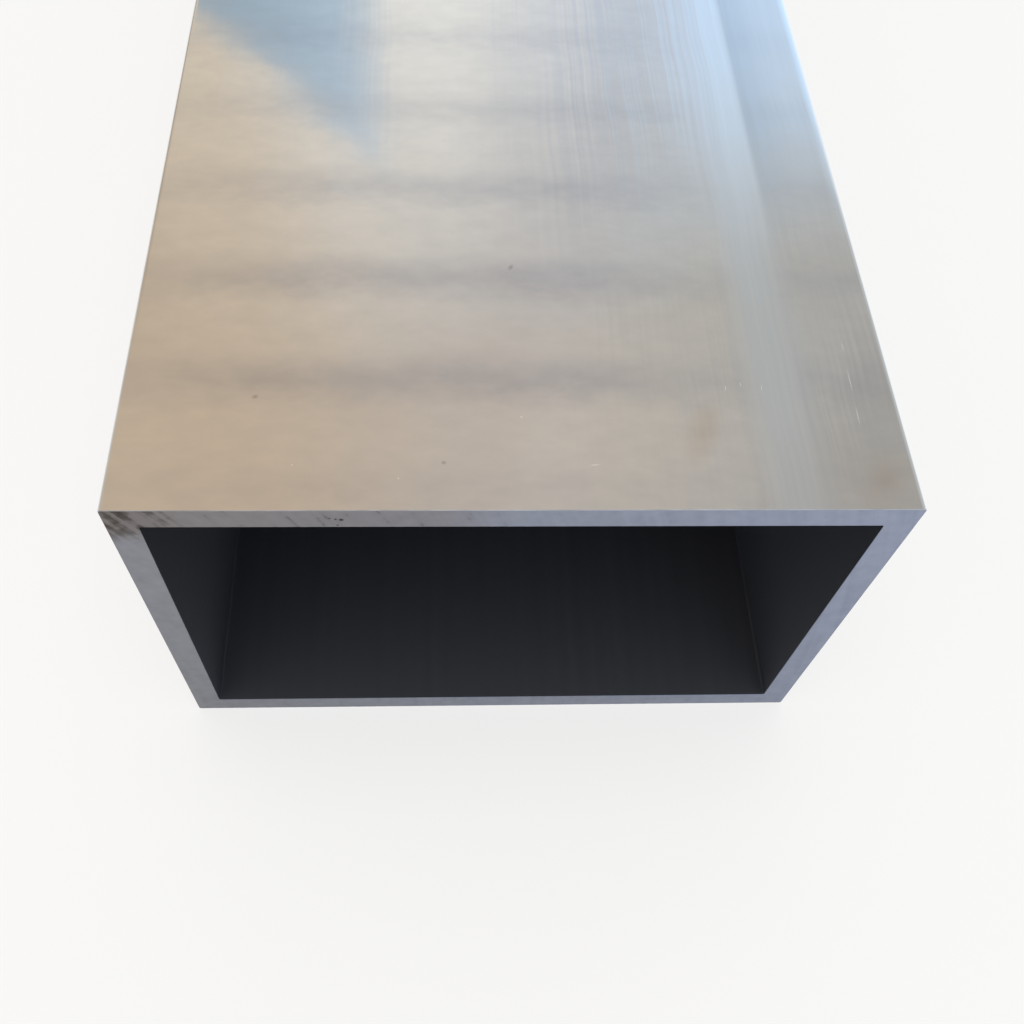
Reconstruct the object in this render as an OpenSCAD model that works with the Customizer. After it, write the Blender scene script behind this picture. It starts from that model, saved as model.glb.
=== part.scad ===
/* [Section] */
// Outside width of the section, along the wide faces
section_width = 150; // [100:1:250]
// Outside height of the section, along the narrow faces
section_height = 100; // [50:1:200]
// Thickness of all four walls
wall = 6; // [3:0.5:12]
// Radius of the four outside corners
outer_corner_r = 0.5; // [0.5:0.1:3]
// Radius of the four inside corners
inner_corner_r = 0.5; // [0.5:0.1:6]

/* [Sawn piece] */
// Length from one sawn end to the other
cut_length = 1000; // [200:10:6000]
// Width of the small bevel that deburring leaves on the sawn edges
edge_break = 0.1; // [0.05:0.05:0.4]

/* [Hidden] */

// The hollow is the section less one wall on every side
bore_width = section_width - 2 * wall;
bore_height = section_height - 2 * wall;

// How far the hollow's cutter runs past each sawn end
cutter_overrun = 1;

// Colour of bare extruded aluminium
mill_finish = [0.72, 0.70, 0.67];

// Smoothness of the corner arcs
$fn = 64;

// Centres of the four corner arcs of a rounded rectangle
function corner_centres(w, h, r) =
    [for (sx = [-1, 1], sy = [-1, 1]) [sx * (w / 2 - r), sy * (h / 2 - r)]];

// Rectangle with round corners: two crossed strips and a disc at each corner
module rounded_rectangle(w, h, r) {
    square([w - 2 * r, h], center = true);
    square([w, h - 2 * r], center = true);
    for (centre = corner_centres(w, h, r))
        translate(centre) circle(r = r);
}

// Straight bar of that outline, centred on the origin and running along Z
module straight_bar(w, h, r, length) {
    linear_extrude(height = length, center = true)
        rounded_rectangle(w, h, r);
}

// Slab that grows outwards by its own thickness on both long sides, at 45 degrees
module flared_slab(across, along, spread) {
    rotate([90, 0, 0])
        linear_extrude(height = along, center = true)
            polygon([
                [-across / 2, 0],
                [across / 2, 0],
                [across / 2 + spread, spread],
                [-across / 2 - spread, spread]
            ]);
}

// Rounded rectangle that grows by spread on every side over a rise of spread:
// a cone at each corner and two crossed slabs between the cones
module flared_bar(w, h, r, spread) {
    for (centre = corner_centres(w, h, r))
        translate(centre) cylinder(h = spread, r1 = r, r2 = r + spread);
    flared_slab(w, h - 2 * r, spread);
    rotate(90) flared_slab(h, w - 2 * r, spread);
}

// Outside of the piece: a straight bar whose end edges are broken
module outer_body() {
    straight_length = cut_length - 2 * edge_break;
    straight_bar(section_width, section_height, outer_corner_r, straight_length);
    for (end = [0, 1])
        mirror([0, 0, end])
            translate([0, 0, -cut_length / 2])
                flared_bar(
                    section_width - 2 * edge_break,
                    section_height - 2 * edge_break,
                    outer_corner_r - edge_break,
                    edge_break
                );
}

// Hollow through the piece, a little wider at both mouths where the edge is broken
module bore() {
    straight_bar(bore_width, bore_height, inner_corner_r, cut_length + 2 * cutter_overrun);
    for (end = [0, 1])
        mirror([0, 0, end])
            translate([0, 0, cut_length / 2 - edge_break])
                flared_bar(bore_width, bore_height, inner_corner_r, edge_break + cutter_overrun);
}

// The tube lies on a wide face, with its length along Y
module tube() {
    color(mill_finish)
        translate([0, 0, section_height / 2])
            rotate([90, 0, 0])
                difference() {
                    outer_body();
                    bore();
                }
}

tube();
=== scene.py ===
# %% [markdown]
# A length of rectangular aluminium tube, bare as it left the press and the saw.
# Bright, faintly streaked walls, a duller sawn end and a dark hollow make up the whole look,
# so this lesson spends its time on three things: four finishes of one metal, one exact sweep,
# and a soft room for that metal to mirror.

import math

import bpy
from mathutils import Matrix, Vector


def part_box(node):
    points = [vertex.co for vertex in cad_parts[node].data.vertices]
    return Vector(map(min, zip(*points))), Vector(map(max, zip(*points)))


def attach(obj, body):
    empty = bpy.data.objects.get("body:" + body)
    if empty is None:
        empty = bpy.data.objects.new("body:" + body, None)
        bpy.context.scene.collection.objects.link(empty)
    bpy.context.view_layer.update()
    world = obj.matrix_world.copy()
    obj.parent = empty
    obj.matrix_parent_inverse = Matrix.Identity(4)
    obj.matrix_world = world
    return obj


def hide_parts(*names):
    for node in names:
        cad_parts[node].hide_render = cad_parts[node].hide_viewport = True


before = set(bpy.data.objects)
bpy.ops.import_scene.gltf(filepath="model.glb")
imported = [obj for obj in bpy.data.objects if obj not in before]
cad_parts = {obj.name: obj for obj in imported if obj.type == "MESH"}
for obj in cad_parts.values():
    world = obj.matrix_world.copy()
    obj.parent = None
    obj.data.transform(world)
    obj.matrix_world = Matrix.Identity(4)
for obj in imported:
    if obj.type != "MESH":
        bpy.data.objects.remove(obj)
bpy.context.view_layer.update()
tube_low, tube_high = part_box("tube")
width, length, height = tube_high - tube_low
front_end = tube_low.y
MM = 0.001
print(f"tube {width / MM:.0f} x {height / MM:.0f} mm, {length / MM:.0f} mm long")

# %% [markdown]
# Every node tree below is built by one small function. It adds a node, applies its settings,
# and fills its inputs. Inputs are named by their identifiers, or listed in order where they are
# the operands of plain maths. Each takes a value, a hex colour, a socket, or a whole node,
# which then means the first output that node has in use.

# %% One function that adds a node
def linear(hex_colour):
    """Turn an sRGB hex colour into the linear colour that a shader works with."""
    parts = [int(hex_colour[i : i + 2], 16) / 255 for i in (1, 3, 5)]
    return [p / 12.92 if p <= 0.04045 else ((p + 0.055) / 1.055) ** 2.4 for p in parts] + [1.0]


def add_node(tree, kind, inputs=None, **settings):
    """Add one node to a tree, with its settings and with its inputs filled or linked."""
    node = tree.nodes.new(kind)
    for name, value in settings.items():
        setattr(node, name, value)
    sockets = {socket.identifier: socket for socket in node.inputs}
    filled = dict(zip(sockets, inputs)) if isinstance(inputs, list) else inputs or {}
    for identifier, value in filled.items():
        if isinstance(value, str) and value.startswith("#"):
            value = linear(value)
        if isinstance(value, bpy.types.Node):
            value = next(output for output in value.outputs if output.enabled)
        if isinstance(value, bpy.types.NodeSocket):
            tree.links.new(value, sockets[identifier])
        else:
            sockets[identifier].default_value = value
    return node


def new_material(name):
    """Start an empty material, and give back its tree and the Object coordinates in it."""
    material = bpy.data.materials.new(name)
    material.use_nodes = True
    tree = material.node_tree
    tree.nodes.clear()
    return material, tree, add_node(tree, "ShaderNodeTexCoord").outputs["Object"]


MATH, VECTOR, MIX = "ShaderNodeMath", "ShaderNodeVectorMath", "ShaderNodeMix"
NOISE, RANGE, MAPPING = "ShaderNodeTexNoise", "ShaderNodeMapRange", "ShaderNodeMapping"
SPLIT, JOIN = "ShaderNodeSeparateXYZ", "ShaderNodeCombineXYZ"
print("helpers ready")

# %% [markdown]
# The outer walls are extruded aluminium in mill finish. The die irons them to a satin mirror and
# leaves lines along the length, so the eye sees a soft mirror that is streaked one way.
# The lines could be painted as stripes, but stripes would stay put as the light moves.
# They are relief instead: noise stretched along Y, at three widths, which then bends what is mirrored.
# X plus Z measures the way round a rectangle as well as an unwrapping would, so flat noise is enough.
# Real die lines are hundredths of a millimetre apart, too fine to show here, so these are coarser.

# %% Mill finish: die lines
skin, skin_tree, skin_place = new_material("aluminium_extruded_mill_finish")
skin_parts = add_node(skin_tree, SPLIT, {"Vector": skin_place}).outputs
girth = add_node(skin_tree, MATH, [skin_parts["X"], skin_parts["Z"]])
sway_length, sway_reach = 20 * MM, 1.5 * MM
sway = add_node(skin_tree, NOISE, {"Vector": skin_place, "Scale": 1 / sway_length, "Detail": 0.0})
swaying = add_node(skin_tree, MATH, [sway, sway_reach, girth], operation="MULTIPLY_ADD")
unrolled = add_node(skin_tree, JOIN, {"X": swaying, "Y": skin_parts["Y"]})
# Each kind of line: how far apart and how high, in millimetres
die_lines = {"wide": (7.0, 0.090), "middling": (2.2, 0.054), "fine": (0.8, 0.0155)}
line_run = 150 * MM
lines = {}
skin_relief = 0.0
for name, (spacing, rise) in die_lines.items():
    stretched = add_node(
        skin_tree, MAPPING, {"Vector": unrolled, "Scale": (1 / (spacing * MM), 1 / line_run, 1.0)}
    )
    lines[name] = add_node(
        skin_tree, NOISE, {"Vector": stretched, "Scale": 1.0, "Detail": 1.0}, noise_dimensions="2D"
    )
    skin_relief = add_node(skin_tree, MATH, [lines[name], rise, skin_relief], operation="MULTIPLY_ADD")
    print(f"{name} die lines: {spacing} mm apart, {rise} mm high")

# %% [markdown]
# The die was more worn on one side, so the lines are strong on the right of the wall and faint on
# the left, and they are fainter near the sawn end as well. Two soft limits scale the relief down.
# No extruded wall is truly flat either: a slow ripple, a few hundredths of a millimetre high,
# is added on top. It is what makes the edge of a reflection wavy instead of ruled.

# %% Mill finish: where the lines are faint, and the ripple of the wall
for measure, faint, whole, least in (
    (skin_parts["X"], -4 * MM, 30 * MM, 0.1),
    (skin_parts["Y"], front_end + 10 * MM, front_end + 100 * MM, 0.35),
):
    streaked = add_node(
        skin_tree, RANGE, {"Value": measure, "From Min": faint, "From Max": whole, "To Min": least}
    )
    skin_relief = add_node(skin_tree, MATH, [skin_relief, streaked], operation="MULTIPLY")
ripple_length, ripple_rise = 12 * MM, 0.034
ripple = add_node(skin_tree, NOISE, {"Vector": skin_place, "Scale": 1 / ripple_length, "Detail": 1.0})
skin_relief = add_node(skin_tree, MATH, [ripple, ripple_rise, skin_relief], operation="MULTIPLY_ADD")
print(f"ripple: {ripple_length / MM:.0f} mm long, {ripple_rise} mm high")

# %% [markdown]
# Bands, strips and stains on real metal have no ruled borders. One function makes such a patch:
# each of its limits rises softly along some measure, and the product of the limits is the patch.

# %% A patch with soft borders
def soft_patch(tree, *limits):
    """Multiply limits into one patch: each is a measure, where it is nothing and where it is whole."""
    patch = 1.0
    for measure, none, whole in limits:
        limit = add_node(
            tree,
            RANGE,
            {"Value": measure, "From Min": none, "From Max": whole},
            interpolation_type="SMOOTHSTEP",
        )
        patch = add_node(tree, MATH, [patch, limit], operation="MULTIPLY")
    return patch


print("soft patches ready")

# %% [markdown]
# Greyer bands cross the wall at one even spacing. They are a painted reflection, the blurred
# picture of a ribbed roof laid into the colour, and each band is made slightly duller as well.
# A ping-pong of the length gives the distance to the nearest band, and noise frays its edges.
# A ping-pong of the length gives the distance to the nearest band, and noise frays its edges.

# %% Mill finish: bands across the wall
cloud_size = 14 * MM
cloud = add_node(skin_tree, NOISE, {"Vector": skin_place, "Scale": 1 / cloud_size, "Detail": 3.0})
rub_long, rub_wide = 6 * MM, 3.4 * MM
smeared = add_node(
    skin_tree, MAPPING, {"Vector": skin_place, "Scale": (1 / rub_long, 1 / rub_wide, 1 / rub_long)}
)
mottle = add_node(skin_tree, NOISE, {"Vector": smeared, "Scale": 1.0, "Detail": 3.0})
band_spacing, band_half_width, first_band = 26.3 * MM, 8.5 * MM, 3 * MM
band_place = add_node(skin_tree, MATH, [skin_parts["Y"], front_end + first_band], operation="SUBTRACT")
noise_middle = 0.5
for noise, fray in ((cloud, 4.5 * MM), (mottle, 1.2 * MM)):
    frayed = add_node(skin_tree, MATH, [noise, noise_middle], operation="SUBTRACT")
    band_place = add_node(skin_tree, MATH, [frayed, fray, band_place], operation="MULTIPLY_ADD")
to_band = add_node(skin_tree, MATH, [band_place, band_spacing / 2], operation="PINGPONG")
band = soft_patch(skin_tree, (to_band, band_half_width, 0.0))
band_texture = add_node(
    skin_tree, RANGE, {"Value": mottle, "From Min": 0.3, "From Max": 0.7, "To Min": 0.9, "To Max": 1.1}
)
band = add_node(skin_tree, MATH, [band, band_texture], operation="MULTIPLY")
print("bands every", band_spacing / MM, "mm")

# %% [markdown]
# No painted band is equally strong from one end of it to the other. Each is strongest a little left of the
# middle of the wall, and the first ones are stronger than those further in. The side walls
# have next to none. Every such fade is one row: a measure, the place where
# the band is whole, the place where it is faintest, and what is left of it there.

# %% Mill finish: where the bands fade
band_middle = -17 * MM
off_middle = add_node(skin_tree, MATH, [skin_parts["X"], band_middle], operation="SUBTRACT")
off_middle = add_node(skin_tree, MATH, [off_middle], operation="ABSOLUTE")
fades = (
    (off_middle, 25 * MM, 62 * MM, 0.35),
    (skin_parts["Y"], front_end + 40 * MM, front_end + 130 * MM, 0.42),
    (skin_parts["Y"], front_end + 25 * MM, front_end, 0.3),
    (skin_parts["Y"], front_end + 150 * MM, front_end + 320 * MM, 0.6),
    (skin_parts["Z"], height - 0.4 * MM, height - 1.2 * MM, 0.2),
)
for measure, whole, faint, least in fades:
    strength = add_node(
        skin_tree,
        RANGE,
        {"Value": measure, "From Min": whole, "From Max": faint, "To Min": 1.0, "To Max": least},
        interpolation_type="SMOOTHSTEP",
    )
    band = add_node(skin_tree, MATH, [band, strength], operation="MULTIPLY")
print("band fades:", len(fades))

# %% [markdown]
# One strip near the right-hand edge rubbed against the guide on its way out, and it is a little duller for
# it.
# Its paler, bluer colour is a painted reflection of daylight, streaky where it fades in from the left
# and solid on its right. Further in it stops at a hard line. Beyond it lie a strip of painted shade and a
# wall painted cooler as a reflection of daylight, and the edge itself carries a painted highlight.
# Each strip is a product of soft limits, and the limits are named so that strips can share them.

# %% Mill finish: the rubbed strip and its painted reflections
strip_start, strip_stop, shade_stop = 43 * MM, 57 * MM, 70 * MM
right_edge = width / 2
strip_limits = {
    "fades in": (skin_parts["X"], strip_start, strip_stop - 7 * MM),
    "fades in early": (skin_parts["X"], strip_start - 7 * MM, strip_stop - 7 * MM),
    "fades in late": (skin_parts["X"], strip_stop - 10 * MM, strip_stop - 4 * MM),
    "ends softly": (skin_parts["X"], strip_stop + 5 * MM, strip_stop - 5 * MM),
    "ends hard": (skin_parts["X"], strip_stop + MM, strip_stop - MM),
    "past the line": (skin_parts["X"], strip_stop - MM, strip_stop + MM),
    "fades out": (skin_parts["X"], shade_stop, strip_stop),
    "further in": (skin_parts["Y"], front_end + 55 * MM, front_end + 110 * MM),
    "streaky": (lines["middling"], 0.2, 0.62),
    "near the edge": (skin_parts["X"], right_edge - 2.8 * MM, right_edge - 0.5 * MM),
    "at the edge": (skin_parts["X"], right_edge - 1.1 * MM, right_edge - 0.5 * MM),
    "on top": (skin_parts["Z"], height - 0.5 * MM, height - 0.2 * MM),
}
strips = {}
for name, limits in {
    "rubbed": ("fades in", "ends softly"),
    "streaky_sheen": ("fades in early", "ends hard", "further in", "streaky"),
    "core": ("fades in late", "ends hard", "further in"),
    "daylight_reflection": ("past the line", "further in"),
    "shaded": ("past the line", "fades out", "further in"),
    "margin_highlight": ("near the edge", "further in", "on top"),
    "edge": ("at the edge", "on top"),
}.items():
    strips[name] = soft_patch(skin_tree, *(strip_limits[limit] for limit in limits))
print("rubbed strip:", round((strip_stop - strip_start) / MM), "mm wide")

# %% [markdown]
# Handling leaves a few bright nicks, dull specks and brownish stains. Those near the front end are
# listed one by one, on the top wall. A Mapping node of the texture kind turns space so that each mark
# is a unit circle: one length test then draws a dot, a dash or a long scratch.

# %% Mill finish: marks listed one by one
# Each mark: across the wall, in from the front end, half its length, half its width, its turn in degrees
light_marks = (
    (14.4, 9.7, 1.25, 0.22, 5),
    (1.2, 20.5, 0.35, 0.3, 0),
    (-21.9, 6.8, 0.25, 0.25, 0),
    (-41.4, 9.7, 0.2, 0.2, 0),
    (41.5, 27.5, 0.9, 0.14, 86),
    (44.6, 28.4, 0.8, 0.14, 88),
    (48.6, 27.6, 0.9, 0.14, 84),
    (66.4, 21.0, 2.6, 0.14, 89),
    (66.6, 29.5, 3.2, 0.14, 90),
    (66.9, 38.0, 1.4, 0.14, 91),
)
dark_marks = ((-13.6, 10.2, 0.6, 0.5, 0), (0.6, 58.7, 1.1, 0.6, 60), (-49.4, 25.1, 0.8, 0.6, 20))
stains = ((35.5, 17.0, 9.0, 4.0, 70), (68.5, 6.0, 9.0, 6.0, 60))
mark_kinds = (("light", light_marks, 0.9), ("dark", dark_marks, 1.0), ("stain", stains, 1.0))
masks = {}
for kind, marks, softness in mark_kinds:
    masks[kind] = 0.0
    for across, from_front, half_long, half_wide, turned in marks:
        unit = add_node(
            skin_tree,
            MAPPING,
            {
                "Vector": skin_place,
                "Location": (across * MM, front_end + from_front * MM, height),
                "Rotation": (0.0, 0.0, math.radians(turned)),
                "Scale": (half_long * MM, half_wide * MM, half_wide * MM),
            },
            vector_type="TEXTURE",
        )
        off_centre = add_node(skin_tree, VECTOR, [unit], operation="LENGTH")
        mark = add_node(
            skin_tree, RANGE, {"Value": off_centre, "From Min": 1.0, "From Max": 1.0 - softness}
        )
        masks[kind] = add_node(skin_tree, MATH, [masks[kind], mark], operation="MAXIMUM")
masks["stain"] = add_node(skin_tree, MATH, [masks["stain"], cloud], operation="MULTIPLY")
print(len(light_marks), "nicks,", len(dark_marks), "specks and", len(stains), "stains placed by hand")

# %% [markdown]
# The far part of the tube has its specks too, but nobody needs to choose them one by one.
# A cell pattern drops one point into each cell of a loose grid, and one cell in three keeps its point.

# %% Mill finish: scattered specks
speck_spacing, speck_radius = 17 * MM, 0.68 * MM
speck_cells = add_node(
    skin_tree, "ShaderNodeTexVoronoi", {"Vector": skin_place, "Scale": 1 / speck_spacing}
)
speck = add_node(
    skin_tree,
    RANGE,
    {
        "Value": speck_cells.outputs["Distance"],
        "From Min": speck_radius / speck_spacing,
        "From Max": 0.0,
    },
)
cell_number = add_node(skin_tree, SPLIT, {"Vector": speck_cells.outputs["Color"]})
share_left_out = 0.67
for measure, least in ((cell_number, share_left_out), (skin_parts["Y"], front_end + 150 * MM)):
    kept = add_node(skin_tree, MATH, [measure, least], operation="GREATER_THAN")
    speck = add_node(skin_tree, MATH, [speck, kept], operation="MULTIPLY")
masks["dark"] = add_node(skin_tree, MATH, [masks["dark"], speck], operation="MAXIMUM")
print(f"specks {speck_radius / MM:.2f} mm in radius, about {speck_spacing / MM:.0f} mm apart")

# %% [markdown]
# The side walls mirror only the pale floor, where relief hardly shows. There the die lines are drawn
# a second time, in the colour, as the eye sees them on a real wall that faces a plain surface.

# %% Mill finish: lines drawn on the side walls
drawn_line = 4 * MM
drawn = add_node(
    skin_tree, NOISE, {"W": girth, "Scale": 1 / drawn_line, "Detail": 3.0}, noise_dimensions="1D"
)
side_wall = add_node(
    skin_tree,
    RANGE,
    {"Value": skin_parts["Z"], "From Min": height - 0.4 * MM, "From Max": height - 1.2 * MM},
)
drawn = add_node(skin_tree, MATH, [drawn, side_wall], operation="MULTIPLY")
print("drawn lines:", drawn_line / MM, "mm apart")

# %% [markdown]
# Now the finish is put together. The bare metal is one of two near greys, chosen by the fine mottle,
# and each mark is laid over it in turn. A stain, a speck, a drawn line, painted shade or a painted band
# multiplies what is there, while a strip of painted reflection or highlight, or a fresh nick, replaces it.
# Roughness adds up in the same way, because a banded or rubbed place is duller too. The layers are a list,
# so that their order is easy to read and to change.
# One function lays such a list and ends the tree, in the same way for each of the four finishes.

# %% Mill finish: colour, roughness and relief together
def finish_metal(tree, colour, layers, roughness, relief, depth, metallic=1.0):
    """End the tree of a metal: lay each layer over its first colour, and use its relief as bump."""
    for amount, way, over in layers:
        colour = add_node(
            tree,
            MIX,
            {"Factor_Float": amount, "A_Color": colour, "B_Color": over},
            data_type="RGBA",
            blend_type=way,
        )
    normal = add_node(tree, "ShaderNodeBump", {"Strength": 1.0, "Distance": depth, "Height": relief})
    metal = add_node(
        tree,
        "ShaderNodeBsdfPrincipled",
        {"Base Color": colour, "Metallic": metallic, "Roughness": roughness, "Normal": normal},
    )
    add_node(tree, "ShaderNodeOutputMaterial", {"Surface": metal})


skin_layers = (
    (mottle, "MIX", "#CBCAC7"),
    (drawn, "MULTIPLY", "#E6E7E8"),
    # Painted reflection: the wall beyond the hard line made cooler, as mirrored daylight
    (strips["daylight_reflection"], "MIX", "#D1D6D9"),
    # Painted reflection: greyer bands, the blurred picture of a ribbed roof
    (band, "MULTIPLY", "#E8EAEF"),
    # Painted reflection and highlight: the strip paler and bluer, its streaky and solid sheen, painted
    # shade past the line, and a bright right edge
    (strips["rubbed"], "MIX", "#D1D4D5"),
    (strips["streaky_sheen"], "MIX", "#D9DBDD"),
    (strips["core"], "MIX", "#DBE1E4"),
    (strips["shaded"], "MULTIPLY", "#ECEFF2"),
    (strips["margin_highlight"], "MIX", "#E2EEF6"),
    (strips["edge"], "MIX", "#F1F4F5"),
    (masks["stain"], "MULTIPLY", "#F2E3D2"),
    (masks["dark"], "MULTIPLY", "#D6D2CE"),
    (masks["light"], "MIX", "#ECECEA"),
)
skin_roughness = 0.06
for amount, added in ((mottle, 0.05), (band, 0.05), (strips["rubbed"], 0.05), (masks["light"], 0.25)):
    skin_roughness = add_node(skin_tree, MATH, [amount, added, skin_roughness], operation="MULTIPLY_ADD")
finish_metal(skin_tree, "#D9D6D1", skin_layers, skin_roughness, skin_relief, depth=MM)
print("mill finish:", len(skin_tree.nodes), "nodes")

# %% [markdown]
# The ends were cut by a large circular saw. Its teeth leave arcs about one far centre,
# so the cut face is rougher than the walls, and catches light in curved streaks. It is greyer too,
# partly for its duller finish and partly as painted shade.
# Distance from the blade's centre feeds noise that has one dimension only, which draws rings.
# Real tooth marks are finer than the eye can part from here, so these are drawn coarser.

# %% Sawn end: rings and blotches
sawn, sawn_tree, sawn_place = new_material("aluminium_sawn_end")
blade_centre = (-250 * MM, 0.0, 0.0)
sawn_parts = add_node(sawn_tree, SPLIT, {"Vector": sawn_place}).outputs
cut_axes = (1.0, 0.0, 1.0)
cut_plane = add_node(sawn_tree, VECTOR, [sawn_place, cut_axes], operation="MULTIPLY")
from_blade = add_node(sawn_tree, VECTOR, [cut_plane, blade_centre], operation="DISTANCE")
tooth_mark, blotch_size = 1.8 * MM, 3 * MM
arcs = add_node(
    sawn_tree, NOISE, {"W": from_blade, "Scale": 1 / tooth_mark, "Detail": 3.0}, noise_dimensions="1D"
)
blotch = add_node(sawn_tree, NOISE, {"Vector": sawn_place, "Scale": 1 / blotch_size, "Detail": 3.0})
grain = add_node(sawn_tree, MATH, [arcs, blotch], operation="MULTIPLY")
print("tooth marks:", tooth_mark / MM, "mm apart")

# %% [markdown]
# The top left of the front end has been handled: a faint stain and a few flecks along the top wall,
# a haze in the corner, dark smears that follow the saw's arcs, and four small nicks.
# A patch is a product of soft limits again, so none of them has a hard border.
# The first limit is the place along the tube, which leaves the rear end clean.

# %% Sawn end: the handled corner
soil_limits = {
    "front": (sawn_parts["Y"], 0.0, front_end),
    "high": (sawn_parts["Z"], height - 13 * MM, height - 5 * MM),
    "left": (sawn_parts["X"], 2 * MM, -18 * MM),
    "corner": (sawn_parts["X"], -60 * MM, -68 * MM),
    "streaked": (grain, 0.18, 0.34),
    "flecked": (grain, 0.34, 0.46),
}
soiled = {}
for name, limits in {
    "stain": ("front", "high", "left"),
    "flecks": ("front", "high", "left", "flecked"),
    "haze": ("front", "high", "corner"),
    "smear": ("front", "high", "corner", "streaked"),
}.items():
    soiled[name] = soft_patch(sawn_tree, *(soil_limits[limit] for limit in limits))
soiled["nicks"] = 0.0
nick_core = 0.3
# Each nick: across the face, down from the top, and its radius
for across, down, radius in ((-32.2, 3.3, 0.6), (-33.2, 3.1, 0.35), (-34.3, 2.8, 0.3), (-33.0, 5.3, 0.3)):
    to_nick = add_node(
        sawn_tree,
        VECTOR,
        [sawn_place, (across * MM, front_end, height - down * MM)],
        operation="DISTANCE",
    )
    nick = add_node(
        sawn_tree, RANGE, {"Value": to_nick, "From Min": radius * MM, "From Max": nick_core * radius * MM}
    )
    soiled["nicks"] = add_node(sawn_tree, MATH, [soiled["nicks"], nick], operation="MAXIMUM")
print("handled corner:", ", ".join(soiled))

# %% [markdown]
# The cut face is painted lighter and cooler towards the right, a painted reflection of daylight from
# that side, and it is darker towards the foot. So two ramps across the whole face come first, and the grain
# and the dirt go over them.
# The same arcs that tint the face also raise it, a hundredth of a millimetre, as bump.

# %% Sawn end: colour, roughness and relief together
painted_daylight = add_node(
    sawn_tree, RANGE, {"Value": sawn_parts["X"], "From Min": -width / 2, "From Max": width / 2}
)
downwards = add_node(sawn_tree, RANGE, {"Value": sawn_parts["Z"], "From Min": height, "From Max": 0.0})
sawn_layers = (
    # Painted reflection: lighter and bluer towards the right, as daylight from that side
    (painted_daylight, "MIX", "#969FB5"),
    (downwards, "MULTIPLY", "#E2E2E2"),
    (grain, "MULTIPLY", "#D8D9DE"),
    (soiled["stain"], "MULTIPLY", "#F1E7DC"),
    (soiled["flecks"], "MULTIPLY", "#CFCBC8"),
    (soiled["haze"], "MULTIPLY", "#ECE8E6"),
    (soiled["smear"], "MULTIPLY", "#A1988F"),
    (soiled["nicks"], "MULTIPLY", "#4A4744"),
)
sawn_roughness = add_node(sawn_tree, RANGE, {"Value": blotch, "To Min": 0.34, "To Max": 0.5})
tooth_depth = 0.012 * MM
# The grey of the cut face is partly its duller finish and partly painted shade
finish_metal(sawn_tree, "#8E9097", sawn_layers, sawn_roughness, arcs, depth=tooth_depth)
print("sawn end:", len(sawn_tree.nodes), "nodes")

# %% [markdown]
# The saw lifts a small burr, and one pass of a scraper takes it off. What is left is a very narrow
# bevel round the outside of each end, paler than the cut face beside it and a little uneven.
# To the eye it is one thin bright line, which separates the two faces better than any shading would.

# %% Scraped edge
scraped, scraped_tree, scraped_place = new_material("aluminium_scraped_edge")
chatter_length, chatter_depth = 6 * MM, 0.02 * MM
chatter = add_node(
    scraped_tree,
    NOISE,
    {"Vector": scraped_place, "Scale": 1 / chatter_length, "Detail": 3.0, "Roughness": 0.6},
)
chatter_contrast = add_node(scraped_tree, RANGE, {"Value": chatter, "From Min": 0.35, "From Max": 0.65})
scraped_layers = [(chatter_contrast, "MIX", "#CCCCD0")]
scraped_roughness = add_node(scraped_tree, RANGE, {"Value": chatter, "To Min": 0.28, "To Max": 0.48})
finish_metal(scraped_tree, "#ACACAE", scraped_layers, scraped_roughness, chatter, depth=chatter_depth)
print("scraped edge:", len(scraped_tree.nodes), "nodes")

# %% [markdown]
# The hollow is shaped by the die's mandrel and never touched again. Its walls keep coarser lines
# and are duller than the outside. Their dark colour is painted shade of the hollow, darker still towards
# the top. The metal is not fully metallic here, so part of the light scatters.

# %% Dull bore
bore, bore_tree, bore_place = new_material("aluminium_dull_bore")
mandrel_line, mandrel_run, mandrel_depth = 2.5 * MM, 250 * MM, 0.006 * MM
bore_parts = add_node(bore_tree, SPLIT, {"Vector": bore_place}).outputs
bore_girth = add_node(bore_tree, MATH, [bore_parts["X"], bore_parts["Z"]])
bore_unrolled = add_node(bore_tree, JOIN, {"X": bore_girth, "Y": bore_parts["Y"]})
bore_stretched = add_node(
    bore_tree, MAPPING, {"Vector": bore_unrolled, "Scale": (1 / mandrel_line, 1 / mandrel_run, 1.0)}
)
mandrel_lines = add_node(
    bore_tree,
    NOISE,
    {"Vector": bore_stretched, "Scale": 1.0, "Detail": 2.0, "Roughness": 0.6},
    noise_dimensions="2D",
)
bore_top_shade = add_node(
    bore_tree, RANGE, {"Value": bore_parts["Z"], "From Min": 0.3 * height, "From Max": height}
)
# Painted shade: the hollow's dark colours, darker still towards the top
bore_layers = [(mandrel_lines, "MIX", "#5B5E66"), (bore_top_shade, "MULTIPLY", "#CCCCCC")]
bore_roughness = add_node(bore_tree, RANGE, {"Value": mandrel_lines, "To Min": 0.52, "To Max": 0.62})
finish_metal(
    bore_tree,
    "#555860",
    bore_layers,
    bore_roughness,
    mandrel_lines,
    depth=mandrel_depth,
    metallic=0.75,
)
print("dull bore:", len(bore_tree.nodes), "nodes")

# %% [markdown]
# The tube is a main piece that follows a rule: one outline, swept. Curve to Mesh would normally
# sweep a section along a line. Here it is turned round: the wall's own long thin profile,
# 6 mm thick and as long as the tube, is swept around the outline of the section.
# That closes the mesh on itself with no caps and no seam. Every size is a named input of the tree.

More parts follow.
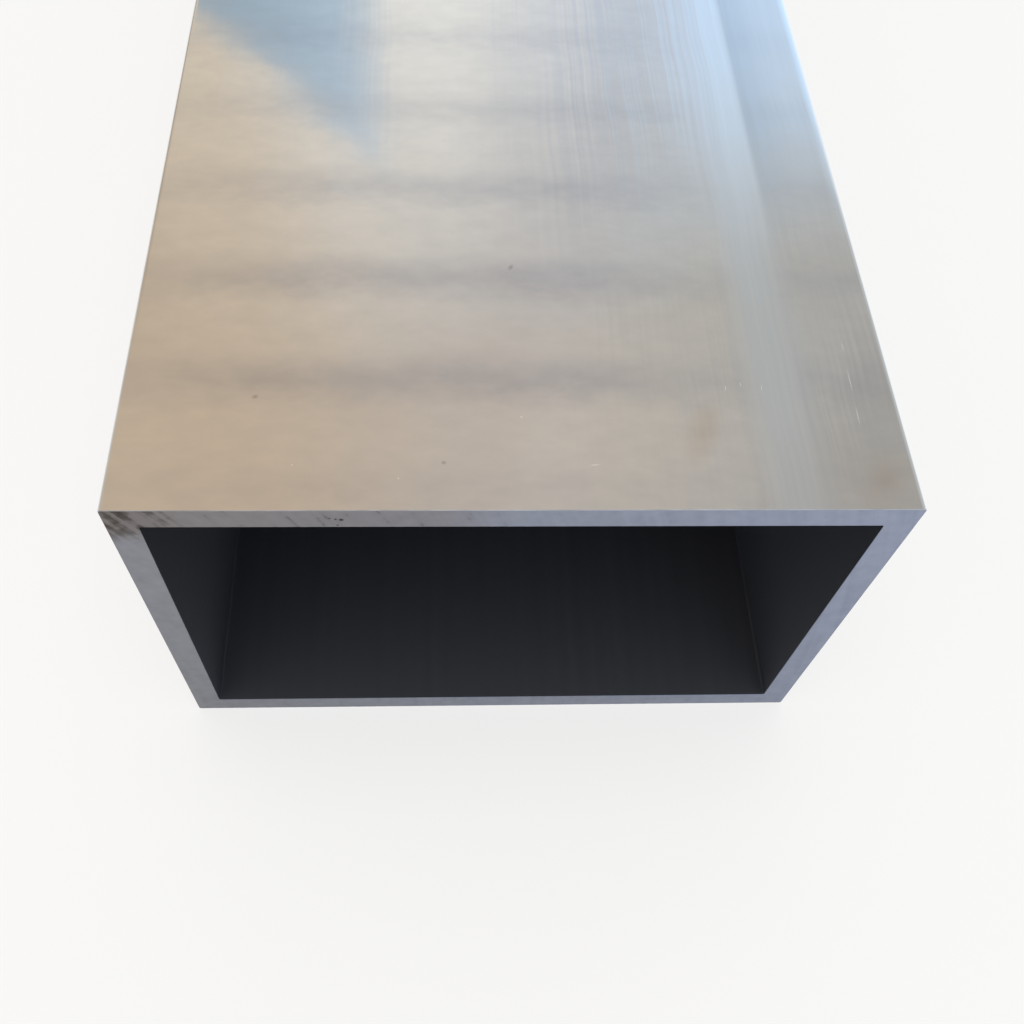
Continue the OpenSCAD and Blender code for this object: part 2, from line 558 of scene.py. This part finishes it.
# %% Sizes of the tube
sizes = {
    "Width": width,
    "Height": height,
    "Length": length,
    "Wall": 6 * MM,
    "Outer radius": 0.5 * MM,
    "Inner radius": 0.5 * MM,
    "Edge break": 0.1 * MM,
    "Bevel wander": 0.05 * MM,
    "Burr": 0.03 * MM,
    "Furrow depth": 0.012 * MM,
    "Furrow spacing": 3.2 * MM,
}
counts = {"Corner steps": 6, "Side cuts": 280, "Length cuts": 12, "Wall cuts": 12}
tube_tree = bpy.data.node_groups.new("Extruded tube", "GeometryNodeTree")
tube_tree.interface.new_socket("Geometry", in_out="OUTPUT", socket_type="NodeSocketGeometry")
for name in sizes:
    tube_tree.interface.new_socket(name, in_out="INPUT", socket_type="NodeSocketFloat")
for name in counts:
    tube_tree.interface.new_socket(name, in_out="INPUT", socket_type="NodeSocketInt")
given = tube_tree.nodes.new("NodeGroupInput").outputs
print("tree inputs:", ", ".join(s.name for s in given if s.name))

# %% [markdown]
# The section's outline is a rectangle with four filleted corners. The long sides need many more points
# than the corners do, so that the cut edge can be uneven later. Subdivide Curve takes a number for
# each segment: the last point of a corner starts a long side, and only that segment is cut up.

# %% The outline: a rectangle with round corners
index = add_node(tube_tree, "GeometryNodeInputIndex")
position = add_node(tube_tree, "GeometryNodeInputPosition")
rectangle = add_node(
    tube_tree,
    "GeometryNodeCurvePrimitiveQuadrilateral",
    {"Width": given["Width"], "Height": given["Height"]},
)
outline = add_node(
    tube_tree,
    "GeometryNodeFilletCurve",
    {"Curve": rectangle, "Count": given["Corner steps"], "Radius": given["Outer radius"]},
    mode="POLY",
)
half_a_step = 0.5
corner_points = add_node(tube_tree, MATH, [given["Corner steps"], 1.0])
place_in_corner = add_node(tube_tree, MATH, [index, corner_points], operation="MODULO")
ends_corner = add_node(
    tube_tree, MATH, [place_in_corner, given["Corner steps"], half_a_step], operation="COMPARE"
)
side_cuts = add_node(tube_tree, MATH, [ends_corner, given["Side cuts"]], operation="MULTIPLY")
outline = add_node(tube_tree, "GeometryNodeSubdivideCurve", {"Curve": outline, "Cuts": side_cuts})
print("outline:", counts["Side cuts"], "cuts a side,", counts["Corner steps"], "steps a corner")

# %% [markdown]
# The inside of the tube has its own corner radius, so the inner outline isn't just a smaller copy.
# Each outline point therefore keeps two things: its place on the core, which is the rectangle through
# the four corner centres, and the way it faces. Any depth in the wall can be worked out from these.

# %% Where each outline point belongs
full_size = add_node(tube_tree, JOIN, {"X": given["Width"], "Y": given["Height"]})
half_size = add_node(tube_tree, VECTOR, {"Vector": full_size, "Scale": 0.5}, operation="SCALE")
outer_core = add_node(tube_tree, VECTOR, [half_size, given["Outer radius"]], operation="SUBTRACT")
inner_inset = add_node(tube_tree, MATH, [given["Wall"], given["Inner radius"]])
inner_core = add_node(tube_tree, VECTOR, [half_size, inner_inset], operation="SUBTRACT")
minus_core = add_node(tube_tree, VECTOR, {"Vector": outer_core, "Scale": -1.0}, operation="SCALE")
core = add_node(tube_tree, VECTOR, [position, outer_core], operation="MINIMUM")
core = add_node(tube_tree, VECTOR, [core, minus_core], operation="MAXIMUM")
flat = (1.0, 1.0, 0.0)
core = add_node(tube_tree, VECTOR, [core, flat], operation="MULTIPLY")
facing = add_node(tube_tree, VECTOR, [position, core], operation="SUBTRACT")
facing = add_node(tube_tree, VECTOR, [facing], operation="NORMALIZE")
for name, value in {"core": core, "facing": facing}.items():
    outline = add_node(
        tube_tree,
        "GeometryNodeStoreNamedAttribute",
        {"Geometry": outline, "Name": name, "Value": value},
        data_type="FLOAT_VECTOR",
    )
print("outline nodes:", len(tube_tree.nodes))

# %% [markdown]
# The profile is the wall cut lengthwise: a strip 6 mm wide and as long as the tube, with its four
# corners broken. A one-step fillet is a chamfer, which is just what a scraper leaves.
# Each profile point will carry its depth in the wall and its place along the tube.

# %% The wall's own profile
strip = add_node(
    tube_tree,
    "GeometryNodeCurvePrimitiveQuadrilateral",
    {"Width": given["Wall"], "Height": given["Length"]},
)
profile = add_node(
    tube_tree,
    "GeometryNodeFilletCurve",
    {"Curve": strip, "Count": 1, "Radius": given["Edge break"]},
    mode="POLY",
)
# Two points to a corner, so the strip repeats itself after two corners
points_to_repeat = 4.0
place_in_strip = add_node(tube_tree, MATH, [index, points_to_repeat], operation="MODULO")
profile_cuts = 0.0
for place, name in ((1.0, "Wall cuts"), (3.0, "Length cuts")):
    here = add_node(tube_tree, MATH, [place_in_strip, place, half_a_step], operation="COMPARE")
    profile_cuts = add_node(tube_tree, MATH, [here, given[name], profile_cuts], operation="MULTIPLY_ADD")
profile = add_node(tube_tree, "GeometryNodeSubdivideCurve", {"Curve": profile, "Cuts": profile_cuts})
strip_place = add_node(tube_tree, SPLIT, {"Vector": position}).outputs
half_wall = add_node(tube_tree, MATH, [given["Wall"], 0.5], operation="MULTIPLY")
depth = add_node(tube_tree, MATH, [half_wall, strip_place["X"]], operation="SUBTRACT")
print("profile:", counts["Wall cuts"], "cuts across the wall,", counts["Length cuts"], "along the tube")

# %% [markdown]
# Rows spread evenly over a metre would make very long thin faces at the ends, next to the tiny bevel.
# A power curve pushes the rows towards both ends, so that faces grow slowly towards the middle.

# %% Rows crowd together near the sawn ends
half_length = add_node(tube_tree, MATH, [given["Length"], 0.5], operation="MULTIPLY")
straight = add_node(tube_tree, MATH, [half_length, given["Edge break"]], operation="SUBTRACT")
row = add_node(tube_tree, MATH, [strip_place["Y"], straight], operation="DIVIDE")
row_side = add_node(tube_tree, MATH, [row], operation="SIGN")
row_reach = add_node(tube_tree, MATH, [row], operation="ABSOLUTE")
left_over = add_node(tube_tree, MATH, [1.0, row_reach], operation="SUBTRACT", use_clamp=True)
crowding = 3.0
crowded = add_node(tube_tree, MATH, [left_over, crowding], operation="POWER")
crowded = add_node(tube_tree, MATH, [left_over, crowded], operation="SUBTRACT")
row_shift = add_node(tube_tree, MATH, [crowded, straight], operation="MULTIPLY")
along = add_node(tube_tree, MATH, [row_shift, row_side, strip_place["Y"]], operation="MULTIPLY_ADD")
for name, value in {"depth": depth, "along": along}.items():
    profile = add_node(
        tube_tree,
        "GeometryNodeStoreNamedAttribute",
        {"Geometry": profile, "Name": name, "Value": value},
        data_type="FLOAT",
    )
print("crowding power:", crowding)

# %% [markdown]
# The sweep gives the faces, but Curve to Mesh knows nothing of two corner radii. So every point is
# placed anew from the four things it carries: the core shrinks and the radius changes with depth,
# and the place along the tube becomes Y. Only the way the faces join is kept from the sweep.

# %% Sweep, then work out the place of each point
swept = add_node(tube_tree, "GeometryNodeCurveToMesh", {"Curve": outline, "Profile Curve": profile})
carried = {}
for name, data_type in {
    "core": "FLOAT_VECTOR",
    "facing": "FLOAT_VECTOR",
    "depth": "FLOAT",
    "along": "FLOAT",
}.items():
    carried[name] = add_node(
        tube_tree, "GeometryNodeInputNamedAttribute", {"Name": name}, data_type=data_type
    ).outputs["Attribute"]
core, facing, depth, along = carried.values()
depth_share = add_node(tube_tree, MATH, [depth, given["Wall"]], operation="DIVIDE")
shrink = add_node(tube_tree, VECTOR, [inner_core, outer_core], operation="DIVIDE")
inner_place = add_node(tube_tree, VECTOR, [core, shrink], operation="MULTIPLY")
core_here = add_node(
    tube_tree,
    MIX,
    {"Factor_Float": depth_share, "A_Vector": core, "B_Vector": inner_place},
    data_type="VECTOR",
)
radius_here = add_node(
    tube_tree,
    MIX,
    {"Factor_Float": depth_share, "A_Float": given["Outer radius"], "B_Float": given["Inner radius"]},
)
from_core = add_node(tube_tree, VECTOR, {"Vector": facing, "Scale": radius_here}, operation="SCALE")
section = add_node(tube_tree, VECTOR, [core_here, from_core])
section_parts = add_node(tube_tree, SPLIT, {"Vector": section}).outputs
half_height = add_node(tube_tree, MATH, [given["Height"], 0.5], operation="MULTIPLY")
lifted = add_node(tube_tree, MATH, [section_parts["Y"], half_height])
placed = add_node(tube_tree, JOIN, {"X": section_parts["X"], "Y": along, "Z": lifted})
print("each point carries:", ", ".join(carried))

# %% [markdown]
# Saw, scraper and die leave relief that is real shape, if only hundredths of a millimetre of it.
# It could all be bump, but then an outline seen close up would be perfectly ruled.
# So the tree moves the points themselves: furrows on the cut face, a bevel of uneven width,
# and a trace of burr that keeps off the underside. First it finds out which points those are.

# %% Which points lie on the cut face, and which on the bevel
tolerance = 0.01 * MM
end_side = add_node(tube_tree, MATH, [along], operation="SIGN")
end_reach = add_node(tube_tree, MATH, [along], operation="ABSOLUTE")
nearly_end = add_node(tube_tree, MATH, [half_length, tolerance], operation="SUBTRACT")
on_cut = add_node(tube_tree, MATH, [end_reach, nearly_end], operation="GREATER_THAN")
nearly_straight = add_node(tube_tree, MATH, [straight, tolerance], operation="SUBTRACT")
on_bevel = add_node(tube_tree, MATH, [end_reach, nearly_straight], operation="GREATER_THAN")
outermost = add_node(tube_tree, MATH, [depth, tolerance], operation="LESS_THAN")
on_lip = add_node(tube_tree, MATH, [on_bevel, outermost], operation="MULTIPLY")
print("tolerance:", tolerance / MM, "mm")

# %% [markdown]
# The furrows follow the blade. They are a sine of the distance from its centre, with noise in the
# phase so that no two are alike. The same noise makes the bevel wider here and there.
# Both only ever cut inwards, so the tube never grows longer than it was sawn.

# %% Relief along the tube: furrows and an uneven bevel
unevenness = 14 * MM
uneven = add_node(
    tube_tree, NOISE, {"Vector": placed, "Scale": 1 / unevenness, "Detail": 3.0, "Roughness": 0.6}
)
placed_flat = add_node(tube_tree, VECTOR, [placed, cut_axes], operation="MULTIPLY")
blade_distance = add_node(tube_tree, VECTOR, [placed_flat, blade_centre], operation="DISTANCE")
furrow = add_node(tube_tree, MATH, [blade_distance, given["Furrow spacing"]], operation="DIVIDE")
furrow = add_node(tube_tree, MATH, [furrow, uneven])
furrow = add_node(tube_tree, MATH, [furrow, math.tau], operation="MULTIPLY")
furrow = add_node(tube_tree, MATH, [furrow], operation="SINE")
furrow = add_node(
    tube_tree,
    RANGE,
    {"Value": furrow, "From Min": -1.0, "From Max": 1.0, "To Max": given["Furrow depth"]},
)
furrow = add_node(tube_tree, MATH, [furrow, on_cut], operation="MULTIPLY")
wander = add_node(
    tube_tree,
    RANGE,
    {"Value": uneven, "From Min": 0.35, "From Max": 0.65, "To Max": given["Bevel wander"]},
)
inwards = add_node(tube_tree, MATH, [wander, on_lip, furrow], operation="MULTIPLY_ADD")
inwards = add_node(tube_tree, MATH, [inwards, end_side], operation="MULTIPLY")
along_cut = add_node(tube_tree, MATH, [along, inwards], operation="SUBTRACT")
print(f"furrows {sizes['Furrow depth'] / MM:.3f} mm deep")
print(f"bevel wanders {sizes['Bevel wander'] / MM:.2f} mm")

# %% [markdown]
# A scraper that hops misses a little burr. It stands out where the same noise is high,
# but not below, because the tube lies flat on that side.

# %% Relief across the wall: the burr
facing_parts = add_node(tube_tree, SPLIT, {"Vector": facing}).outputs
facing_down = -0.5
not_below = add_node(tube_tree, MATH, [facing_parts["Y"], facing_down], operation="GREATER_THAN")
on_burr = add_node(tube_tree, MATH, [on_lip, not_below], operation="MULTIPLY")
burr = add_node(
    tube_tree, RANGE, {"Value": uneven, "From Min": 0.5, "From Max": 0.75, "To Max": given["Burr"]}
)
burr = add_node(tube_tree, MATH, [burr, on_burr], operation="MULTIPLY")
relief = add_node(tube_tree, VECTOR, {"Vector": facing, "Scale": burr}, operation="SCALE")
relief_parts = add_node(tube_tree, SPLIT, {"Vector": relief}).outputs
carved = add_node(
    tube_tree,
    JOIN,
    {
        "X": add_node(tube_tree, MATH, [section_parts["X"], relief_parts["X"]]),
        "Y": along_cut,
        "Z": add_node(tube_tree, MATH, [lifted, relief_parts["Y"]]),
    },
)
tube_mesh = add_node(tube_tree, "GeometryNodeSetPosition", {"Geometry": swept, "Position": carved})
print(f"burr up to {sizes['Burr'] / MM:.2f} mm")

# %% [markdown]
# The corner arcs should shade as round and the bevels as crisp. Everything is set smooth first,
# and then each edge that turns by more than 30 degrees is set sharp again.

# %% Sharp where the metal turns sharply, smooth elsewhere
tube_mesh = add_node(tube_tree, "GeometryNodeSetShadeSmooth", {"Geometry": tube_mesh, "Shade Smooth": True})
edge_turn = add_node(tube_tree, "GeometryNodeInputMeshEdgeAngle").outputs["Unsigned Angle"]
sharp_turn = math.radians(30)
is_sharp = add_node(tube_tree, MATH, [edge_turn, sharp_turn], operation="GREATER_THAN")
tube_mesh = add_node(
    tube_tree,
    "GeometryNodeSetShadeSmooth",
    {"Geometry": tube_mesh, "Selection": is_sharp, "Shade Smooth": False},
    domain="EDGE",
)
print("sharp from", round(math.degrees(sharp_turn)), "degrees")

# %% [markdown]
# One piece of metal, four finishes: each face gets the finish of the tool that made it last.
# The zones are laid over each other from the largest to the smallest, and the cut face comes last.

# %% One finish for each zone
tube_mesh = add_node(tube_tree, "GeometryNodeRealizeInstances", {"Geometry": tube_mesh})
past_straight = add_node(tube_tree, MATH, [straight, tolerance])
in_bevel = add_node(tube_tree, MATH, [end_reach, past_straight], operation="GREATER_THAN")
outer_half = add_node(tube_tree, MATH, [depth, half_wall], operation="LESS_THAN")
outer_bevel = add_node(tube_tree, MATH, [in_bevel, outer_half], operation="MULTIPLY")
nearly_bore = add_node(tube_tree, MATH, [given["Wall"], tolerance], operation="SUBTRACT")
in_bore = add_node(tube_tree, MATH, [depth, nearly_bore], operation="GREATER_THAN")
zones = ((skin, True), (bore, in_bore), (sawn, in_bevel), (scraped, outer_bevel), (sawn, on_cut))
for finish, chosen in zones:
    tube_mesh = add_node(
        tube_tree,
        "GeometryNodeSetMaterial",
        {"Geometry": tube_mesh, "Selection": chosen, "Material": finish},
    )
add_node(tube_tree, "NodeGroupOutput", {"Socket_0": tube_mesh})
print("tube tree:", len(tube_tree.nodes), "nodes")

# %% [markdown]
# A modifier would rebuild the tube each time the scene changes, and an export would lose it.
# So the tree runs once on an empty object, its result is kept as a plain mesh, and the maker goes.
# The mesh then stands in for the plain solid, in the same place and at the same size.

# %% Evaluate the tree once, keep a plain mesh
maker = bpy.data.objects.new("tube_maker", bpy.data.meshes.new("tube_maker"))
bpy.context.scene.collection.objects.link(maker)
sweep = maker.modifiers.new("Extruded tube", "NODES")
sweep.node_group = tube_tree
for socket in tube_tree.interface.items_tree:
    if socket.in_out == "INPUT":
        sweep[socket.identifier] = {**sizes, **counts}[socket.name]
depsgraph = bpy.context.evaluated_depsgraph_get()
tube_skin = bpy.data.meshes.new_from_object(maker.evaluated_get(depsgraph))
tube = bpy.data.objects.new("extruded_tube", tube_skin)
bpy.context.scene.collection.objects.link(tube)
bpy.data.objects.remove(maker)
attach(tube, "root")
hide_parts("tube")
print("tube:", len(tube_skin.polygons), "faces,", len(tube_skin.materials), "finishes")

# %% [markdown]
# The floor is one pale sheet. About two thirds of its white is its own, so that the background stays
# pale in the camera and in the metal, and the rest is lit, so that the tube still sets a shadow on it.

# %% Floor
floor_reach = 25.0
floor_drop = 0.2 * MM
floor_sides = 96
floor_rim = [
    (
        floor_reach * math.cos(math.tau * i / floor_sides),
        floor_reach * math.sin(math.tau * i / floor_sides),
        -floor_drop,
    )
    for i in range(floor_sides)
]
floor_mesh = bpy.data.meshes.new("floor")
floor_mesh.from_pydata(floor_rim, [], [range(floor_sides)])
floor = bpy.data.objects.new("floor", floor_mesh)
bpy.context.scene.collection.objects.link(floor)
paper, paper_tree, _ = new_material("matt_white_paper")
rays = add_node(paper_tree, "ShaderNodeLightPath").outputs
seen = rays["Is Camera Ray"]
for kind in ("Is Glossy Ray", "Is Transmission Ray"):
    seen = add_node(paper_tree, MATH, [seen, rays[kind]], operation="MAXIMUM")
own_white = 0.65
seen = add_node(paper_tree, MATH, [seen, own_white], operation="MULTIPLY")
lit = add_node(paper_tree, "ShaderNodeBsdfPrincipled", {"Base Color": "#F4F4F2", "Roughness": 0.9})
glow = add_node(paper_tree, "ShaderNodeEmission", {"Color": "#FFFFFF", "Strength": 1.0})
paper_shader = add_node(
    paper_tree, "ShaderNodeMixShader", {"Fac": seen, "Shader": lit, "Shader_001": glow}
)
add_node(paper_tree, "ShaderNodeOutputMaterial", {"Surface": paper_shader})
floor_mesh.materials.append(paper)
print("floor:", 2 * floor_reach, "m across")

# %% [markdown]
# Bare metal is mostly a picture of what stands around it. The room is a light tent:
# warm paper overhead, a strip of white cloth low behind the tube, pale daylight low at the right,
# and a cooler shaded gap low at the left. It is painted on the world, by bearing and by rise,
# because a tent has no edges that need modelling. What is behind the tube is in front of it as well.

# %% The tent's directions, in degrees
tent = bpy.data.worlds.new("light_tent")
bpy.context.scene.world = tent
tent.use_nodes = True
tent_tree = tent.node_tree
tent_tree.nodes.clear()
look = add_node(tent_tree, "ShaderNodeTexCoord").outputs["Generated"]
look_parts = add_node(tent_tree, SPLIT, {"Vector": look}).outputs
to_back = add_node(tent_tree, MATH, [look_parts["Y"]], operation="ABSOLUTE")
bearing = add_node(tent_tree, MATH, [look_parts["X"], to_back], operation="ARCTAN2")
bearing = add_node(tent_tree, MATH, [bearing], operation="DEGREES")
rise = add_node(tent_tree, MATH, [look_parts["Z"]], operation="ARCSINE")
rise = add_node(tent_tree, MATH, [rise], operation="DEGREES")
print("directions ready")

# %% [markdown]
# Paper and cloth each get one colour ramp, with its stops written as bearings in degrees.
# Just above the cloth the paper picks up a little of the daylight, so it turns greyer there.
# Straight overhead, where all bearings meet, it has one even colour,
# or a swirl would show in the top wall.

# %% Paper above, cloth and daylight below
widest = 45.0
round_tent = add_node(tent_tree, RANGE, {"Value": bearing, "From Min": -widest, "From Max": widest})
tent_colours = {
    "paper": {
        -45: "#C6C1BB",
        -32: "#C7B6A3",
        -20: "#C7B6A3",
        4: "#C5BBB3",
        11: "#C8C0BA",
        18: "#C3BDB6",
        29: "#BAB7B4",
        36: "#AEABA8",
    },
    "cloth": {
        -45: "#CFCCC8",
        -30: "#9C8F80",
        -15: "#DACFC0",
        -4: "#EDEDEB",
        1: "#EEF0F1",
        6: "#DBE0E7",
        11: "#C3CDDC",
        17: "#C8DDF4",
        24: "#D0E3F9",
        40: "#F4FAFF",
    },
}
painted = {}
for layer, stops in tent_colours.items():
    ramp = add_node(tent_tree, "ShaderNodeValToRGB", {"Fac": round_tent})
    ramp.color_ramp.interpolation = "EASE"
    elements = ramp.color_ramp.elements
    while len(elements) < len(stops):
        elements.new(1.0)
    for element, (angle, colour) in zip(elements, stops.items()):
        element.position = (angle + widest) / (2 * widest)
        element.color = linear(colour)
    painted[layer] = ramp.outputs["Color"]
greyed = soft_patch(tent_tree, (rise, 55.0, 47.0), (bearing, -11.0, 3.0))
overhead = soft_patch(tent_tree, (rise, 62.0, 76.0))
tent_layers = [(greyed, "MULTIPLY", "#F6FBFF"), (overhead, "MIX", "#C4BFBA")]
print("tent:", ", ".join(f"{layer} with {len(stops)} stops" for layer, stops in tent_colours.items()))

# %% [markdown]
# The hem between paper and cloth is soft, and it hangs lower towards the right.
# Low on that side the cloth lets some blue sky through, which is added to its own colour.

# %% The hem between paper and cloth
hem_tilt, hem_droop = 0.12, 0.01
hem_top, hem_foot = 53.5, 34.0
hem_slope = add_node(tent_tree, MATH, [bearing, hem_droop, hem_tilt], operation="MULTIPLY_ADD")
hem = add_node(tent_tree, MATH, [bearing, hem_slope, rise], operation="MULTIPLY_ADD")
low = add_node(tent_tree, RANGE, {"Value": hem, "From Min": hem_top, "From Max": hem_foot})
sky = soft_patch(tent_tree, (rise, 40.0, 36.0), (bearing, 2.0, 11.0))
tent_layers += [(low, "MIX", painted["cloth"]), (sky, "ADD", "#323F50")]
print("hem from", hem_top, "down to", hem_foot, "degrees")

# %% [markdown]
# The gap at the left is what gives the top wall its one clear reflection, a bluish wedge.
# It has a slanting edge and an upright one, and each is one soft step, so the product is the wedge.

# %% The shaded gap
slant, slant_at_horizon, slant_softness = 1.255, -56.6, 0.5
slanted = add_node(tent_tree, MATH, [rise, -slant, bearing], operation="MULTIPLY_ADD")
gap = soft_patch(
    tent_tree,
    (slanted, slant_at_horizon - slant_softness, slant_at_horizon + slant_softness),
    (bearing, -2.1, -5.6),
)
towards_cloth = add_node(tent_tree, RANGE, {"Value": bearing, "From Min": -14.0, "From Max": -5.0})
gap_shade = add_node(
    tent_tree,
    MIX,
    {"Factor_Float": towards_cloth, "A_Color": "#94AABD", "B_Color": "#B6CADE"},
    data_type="RGBA",
)
tent_layers.append((gap, "MIX", gap_shade))
print("gap slants by", slant, "degrees for each degree of rise")

# %% [markdown]
# Lowest of all, one pale band runs right round the tent, so that the side walls mirror an even light.
# Then everything that was made for the tent is laid over its paper, in the order it was made in.

# %% A pale horizon all round, and the tent put together
horizon = soft_patch(tent_tree, (rise, 24.0, 10.0))
tent_layers.append((horizon, "MIX", "#DCDFE2"))
tent_light = painted["paper"]
for amount, way, over in tent_layers:
    tent_light = add_node(
        tent_tree,
        MIX,
        {"Factor_Float": amount, "A_Color": tent_light, "B_Color": over},
        data_type="RGBA",
        blend_type=way,
    )
tent_strength = 1.35
background = add_node(tent_tree, "ShaderNodeBackground", {"Color": tent_light, "Strength": tent_strength})
add_node(tent_tree, "ShaderNodeOutputWorld", {"Surface": background})
print("tent:", len(tent_tree.nodes), "nodes")

# %% [markdown]
# The tent lights the tube from all sides and would leave no shadow to speak of. One large weak lamp
# overhead gives the floor a soft shadow. Neither the camera nor the metal sees it: mirrored in a wall
# this bright, it would burn out to a white patch and hide the finish.

# %% One soft lamp overhead
lamp_data = bpy.data.lights.new("overhead_softbox", "AREA")
lamp_data.shape = "SQUARE"
lamp_data.size = 2.0
lamp_data.energy = 20.0
lamp = bpy.data.objects.new("overhead_softbox", lamp_data)
lamp_before_end, lamp_height = 0.3, 2.5
lamp.location = (0.0, front_end - lamp_before_end, lamp_height)
lamp.visible_camera = False
lamp.visible_glossy = False
bpy.context.scene.collection.objects.link(lamp)
print("lamp:", lamp_data.energy, "W,", lamp_data.size, "m wide")

# %% [markdown]
# The camera stands close to the front end and looks steeply down. It was found by fitting the
# eight corners of the front end and the two long edges to the view, with the tube at its real size.

# %% Camera
camera_data = bpy.data.cameras.new("camera")
camera = bpy.data.objects.new("camera", camera_data)
bpy.context.scene.collection.objects.link(camera)
bpy.context.scene.camera = camera
camera_data.lens = 38.143
camera_data.sensor_width = 36.0
camera_data.shift_x = 0.0264
camera_data.shift_y = -0.0449
camera_data.clip_start = 0.01
look_down = math.radians(57.424)
look_right = math.radians(5.006)
lean = math.radians(4.235)
camera_turn = (
    Matrix.Rotation(-look_right, 4, "Z")
    @ Matrix.Rotation(math.pi / 2 - look_down, 4, "X")
    @ Matrix.Rotation(lean, 4, "Z")
)
camera_place = (-15.42 * MM, front_end - 97.85 * MM, 268.6 * MM)
camera.matrix_world = Matrix.Translation(camera_place) @ camera_turn
bpy.context.scene.view_settings.view_transform = "Standard"
print(f"camera {camera_place[2] / MM:.0f} mm up")
